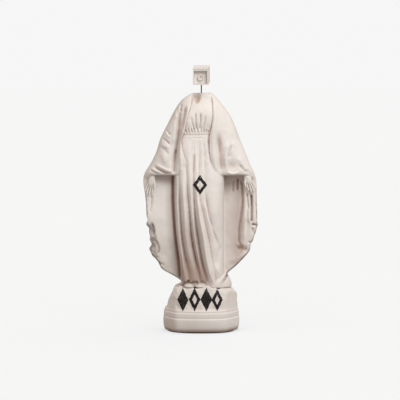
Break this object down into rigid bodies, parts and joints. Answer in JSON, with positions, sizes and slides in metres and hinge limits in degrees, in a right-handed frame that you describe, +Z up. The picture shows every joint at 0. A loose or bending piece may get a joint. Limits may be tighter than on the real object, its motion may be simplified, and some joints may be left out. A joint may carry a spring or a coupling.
{
  "type": "statue",
  "caption": "Robed, cloaked standing statue with open hands on a moulded base, its head replaced by a small box camera that turns and tilts on a thin rod.",
  "frame": {"origin": "middle of the felt pad's underside, on the surface the statue stands on", "axes": "+Z up through the figure, the front faces -Y, +X to the right of a viewer in front"},
  "size_m": [0.254, 0.137, 0.5922],
  "materials": {
    "painted_cast": "matte",
    "steel": "satin",
    "brass": "satin",
    "felt": "matte",
    "wood": "matte",
    "lens": "gloss"
  },
  "bodies": {
    "statue": {"felt_pad": "felt", "base_casting": "painted_cast", "foot_block": "wood", "tie_rod": "steel", "tie_washer": "steel", "tie_nut": "steel", "figure_casting": "painted_cast", "hand_left": "painted_cast", "hand_right": "painted_cast", "hand_dowel_left": "steel", "hand_dowel_right": "steel", "neck_bush": "brass"},
    "mast": {"mast_rod": "steel"},
    "camera": {"camera_housing": "painted_cast", "sunshield": "painted_cast", "bezel_plate": "painted_cast", "rear_cover": "painted_cast", "pivot_screw": "steel", "pivot_nut": "steel", "lens_barrel": "painted_cast", "lens_ring": "painted_cast", "lens_pupil": "lens", "cover_screw_1": "steel", "cover_screw_2": "steel", "cover_screw_3": "steel", "cover_screw_4": "steel"}
  },
  "joints": [
    {"name": "head_pan", "type": "hinge", "parent": "statue", "child": "mast", "pos_m": [0.001, -0.002, 0.527], "axis": [0, 0, 1], "continuous": true},
    {"name": "camera_tilt", "type": "hinge", "parent": "mast", "child": "camera", "pos_m": [0.001, -0.002, 0.561], "axis": [0.9945, -0.1045, 0], "range_deg": [-15, 20]}
  ]
}
